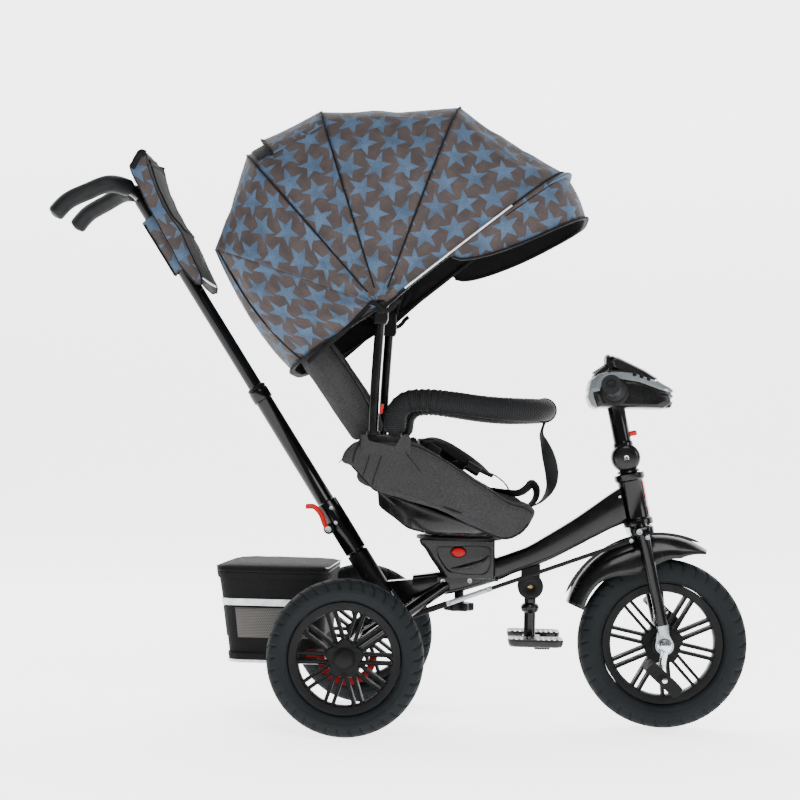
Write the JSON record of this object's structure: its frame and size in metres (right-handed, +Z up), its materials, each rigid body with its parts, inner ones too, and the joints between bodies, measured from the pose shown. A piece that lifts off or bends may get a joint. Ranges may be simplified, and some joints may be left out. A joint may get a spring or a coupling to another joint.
{
  "type": "children's tricycle",
  "caption": "Pedal tricycle with a parent's push handle, reclining swivel seat, bumper bar, folding canopy, footrest and rear basket.",
  "frame": {"origin": "on the ground, in the middle of the length and width of the tricycle at rest", "axes": "+X forward, towards the front wheel; +Y to the rider's left, along the rear axle; +Z up"},
  "size_m": [1.2081, 0.482, 1.0516],
  "materials": {
    "gloss_black_frame": "gloss black powder coat",
    "satin_black_plastic": "satin black moulded plastic",
    "gloss_black_plastic": "gloss black moulded plastic",
    "tyre_rubber": "matt black air tyre with tread",
    "rim_plastic": "matt black moulded spokes",
    "chrome": "bright chrome plate",
    "red_plastic": "red moulded plastic",
    "foam": "black closed-cell foam",
    "grey_fabric": "dark grey melange woven polyester",
    "star_fabric": "taupe polyester printed with slate-blue stars",
    "black_fabric": "black polyester cloth, webbing and mesh",
    "silver_plastic": "silver-grey painted plastic",
    "zinc_steel": "zinc-plated steel"
  },
  "bodies": {
    "frame": {"main_beam": "gloss_black_frame", "rear_frame": "gloss_black_frame", "rear_axle": "chrome", "head_tube": "gloss_black_frame", "seat_pedestal": "gloss_black_plastic", "pole_socket": "satin_black_plastic", "basket": "black_fabric"},
    "basket_lid": {"basket_lid": "black_fabric"},
    "swivel_button": {"swivel_button": "red_plastic"},
    "frame_knob": {"frame_knob": "satin_black_plastic"},
    "footrest": {"footrest": "satin_black_plastic"},
    "brake": {"brake_pedal": "red_plastic"},
    "rear_wheel_left": {"rear_tyre_left": "tyre_rubber", "rear_rim_left": "rim_plastic"},
    "rear_wheel_right": {"rear_tyre_right": "tyre_rubber", "rear_rim_right": "rim_plastic"},
    "steering_link": {"steering_link": "zinc_steel"},
    "push_handle": {"lower_pole": "gloss_black_frame"},
    "push_top": {"upper_pole": "gloss_black_frame", "push_grip_left": "foam", "push_grip_right": "foam", "pole_bag": "star_fabric"},
    "clamp_lever": {"clamp_lever": "red_plastic"},
    "seat": {"turntable": "satin_black_plastic", "seat_tub": "gloss_black_plastic", "seat_cushion": "grey_fabric", "seat_wing_left": "grey_fabric", "seat_wing_right": "grey_fabric", "seat_socket_left": "gloss_black_plastic", "seat_socket_right": "gloss_black_plastic", "canopy_post_left": "gloss_black_frame", "canopy_post_right": "gloss_black_frame", "seat_harness": "black_fabric", "canopy_rib_rear": "satin_black_plastic", "canopy_drop_panel": "star_fabric"},
    "backrest": {"backrest": "grey_fabric"},
    "bumper": {"bumper_bar": "satin_black_plastic", "bumper_foam": "foam", "crotch_strap": "black_fabric"},
    "canopy_1": {"canopy_rib_1": "satin_black_plastic", "canopy_panel_rear": "star_fabric"},
    "canopy_2": {"canopy_rib_2": "satin_black_plastic", "canopy_panel_1": "star_fabric"},
    "canopy_3": {"canopy_rib_3": "satin_black_plastic", "canopy_panel_2": "star_fabric"},
    "canopy_front": {"canopy_rib_front": "satin_black_plastic", "canopy_panel_front": "star_fabric", "canopy_visor": "star_fabric"},
    "steering": {"fork": "gloss_black_frame", "front_fender": "gloss_black_plastic"},
    "front_wheel": {"front_tyre": "tyre_rubber", "front_rim": "rim_plastic"},
    "cranks": {"crank_axle": "chrome"},
    "pedal_left": {"pedal_left": "satin_black_plastic"},
    "pedal_right": {"pedal_right": "satin_black_plastic"},
    "handlebar": {"handlebar": "satin_black_plastic", "hand_grip_left": "foam", "hand_grip_right": "foam", "handlebar_console": "silver_plastic"},
    "stem_button": {"stem_button": "red_plastic"}
  },
  "joints": [
    {"name": "steering_turn", "type": "hinge", "parent": "frame", "child": "steering", "pos_m": [0.46, 0, 0.144], "axis": [-0.2079, 0, 0.9781], "range_deg": [-25, 25]},
    {"name": "front_wheel_spin", "type": "hinge", "parent": "steering", "child": "front_wheel", "pos_m": [0.46, 0, 0.144], "axis": [0, 1, 0], "continuous": true},
    {"name": "crank_spin", "type": "hinge", "parent": "steering", "child": "cranks", "pos_m": [0.46, 0, 0.144], "axis": [0, 1, 0], "continuous": true},
    {"name": "pedal_left_spin", "type": "hinge", "parent": "cranks", "child": "pedal_left", "pos_m": [0.46883, 0.11, 0.19118], "axis": [0, 1, 0], "continuous": true},
    {"name": "pedal_right_spin", "type": "hinge", "parent": "cranks", "child": "pedal_right", "pos_m": [0.45117, -0.11, 0.09682], "axis": [0, 1, 0], "continuous": true},
    {"name": "handlebar_tilt", "type": "hinge", "parent": "steering", "child": "handlebar", "pos_m": [0.39305, 0, 0.45896], "axis": [0, 1, 0], "range_deg": [-5, 15]},
    {"name": "stem_button_press", "type": "slide", "parent": "handlebar", "child": "stem_button", "axis": [-0.9781, 0, -0.2079], "range_m": [0, 0.003], "stiffness_N_per_m": 300},
    {"name": "steering_link_travel", "type": "slide", "parent": "frame", "child": "steering_link", "axis": [0.9378, 0, 0.3472], "range_m": [-0.02, 0.02]},
    {"name": "push_handle_twist", "type": "hinge", "parent": "frame", "child": "push_handle", "pos_m": [-0.018, 0, 0.212], "axis": [-0.5446, 0, 0.8387], "range_deg": [-25, 25]},
    {"name": "push_handle_height", "type": "slide", "parent": "push_handle", "child": "push_top", "axis": [-0.5446, 0, 0.8387], "range_m": [-0.08, 0.05]},
    {"name": "clamp_lever_open", "type": "hinge", "parent": "push_handle", "child": "clamp_lever", "pos_m": [-0.114, -0.025, 0.325], "axis": [0, 1, 0], "range_deg": [-45, 0]},
    {"name": "rear_wheel_left_spin", "type": "hinge", "parent": "frame", "child": "rear_wheel_left", "pos_m": [-0.066, 0.215, 0.127], "axis": [0, 1, 0], "continuous": true},
    {"name": "rear_wheel_right_spin", "type": "hinge", "parent": "frame", "child": "rear_wheel_right", "pos_m": [-0.066, -0.215, 0.127], "axis": [0, 1, 0], "continuous": true},
    {"name": "brake_press", "type": "hinge", "parent": "frame", "child": "brake", "pos_m": [-0.066, -0.169, 0.127], "axis": [0, 1, 0], "range_deg": [-15, 0]},
    {"name": "footrest_fold", "type": "hinge", "parent": "frame", "child": "footrest", "pos_m": [0.234, 0, 0.235], "axis": [0, 1, 0], "range_deg": [0, 45]},
    {"name": "frame_knob_turn", "type": "hinge", "parent": "frame", "child": "frame_knob", "pos_m": [0.112, 0, 0.2], "axis": [0, 0, 1], "continuous": true},
    {"name": "swivel_button_press", "type": "slide", "parent": "frame", "child": "swivel_button", "axis": [0, 1, 0], "range_m": [0, 0.005], "stiffness_N_per_m": 300},
    {"name": "basket_lid_open", "type": "hinge", "parent": "frame", "child": "basket_lid", "pos_m": [-0.104, 0, 0.2564], "axis": [0, 1, 0], "range_deg": [0, 30]},
    {"name": "seat_swivel", "type": "hinge", "parent": "frame", "child": "seat", "pos_m": [0.11, 0, 0.3126], "axis": [0, 0, 1], "range_deg": [-90, 90]},
    {"name": "backrest_recline", "type": "hinge", "parent": "seat", "child": "backrest", "pos_m": [-0.068, 0, 0.458], "axis": [0, 1, 0], "range_deg": [0, 22]},
    {"name": "bumper_bar_lift", "type": "slide", "parent": "seat", "child": "bumper", "axis": [0, 0, 1], "range_m": [0, 0.025]},
    {"name": "canopy_fold_1", "type": "hinge", "parent": "seat", "child": "canopy_1", "pos_m": [-0.025, 0, 0.696], "axis": [0, -1, 0], "range_deg": [0, 16], "deforming": ["canopy_panel_rear"]},
    {"name": "canopy_fold_2", "type": "hinge", "parent": "canopy_1", "child": "canopy_2", "pos_m": [-0.025, 0, 0.696], "axis": [0, -1, 0], "range_deg": [0, 11], "deforming": ["canopy_panel_1"]},
    {"name": "canopy_fold_3", "type": "hinge", "parent": "canopy_2", "child": "canopy_3", "pos_m": [-0.025, 0, 0.696], "axis": [0, -1, 0], "range_deg": [0, 25], "deforming": ["canopy_panel_2"]},
    {"name": "canopy_fold_front", "type": "hinge", "parent": "canopy_3", "child": "canopy_front", "pos_m": [-0.025, 0, 0.696], "axis": [0, -1, 0], "range_deg": [0, 19], "deforming": ["canopy_panel_front", "canopy_visor"]}
  ],
  "couplings": [
    {"joint": "crank_spin", "follows": "front_wheel_spin", "ratio": 1},
    {"joint": "push_handle_twist", "follows": "steering_turn", "ratio": 1},
    {"joint": "steering_link_travel", "follows": "steering_turn", "m_per_rad": 0.045},
    {"joint": "canopy_fold_2", "follows": "canopy_fold_1", "ratio": 0.6875},
    {"joint": "canopy_fold_3", "follows": "canopy_fold_1", "ratio": 1.5625},
    {"joint": "canopy_fold_front", "follows": "canopy_fold_1", "ratio": 1.1875}
  ]
}
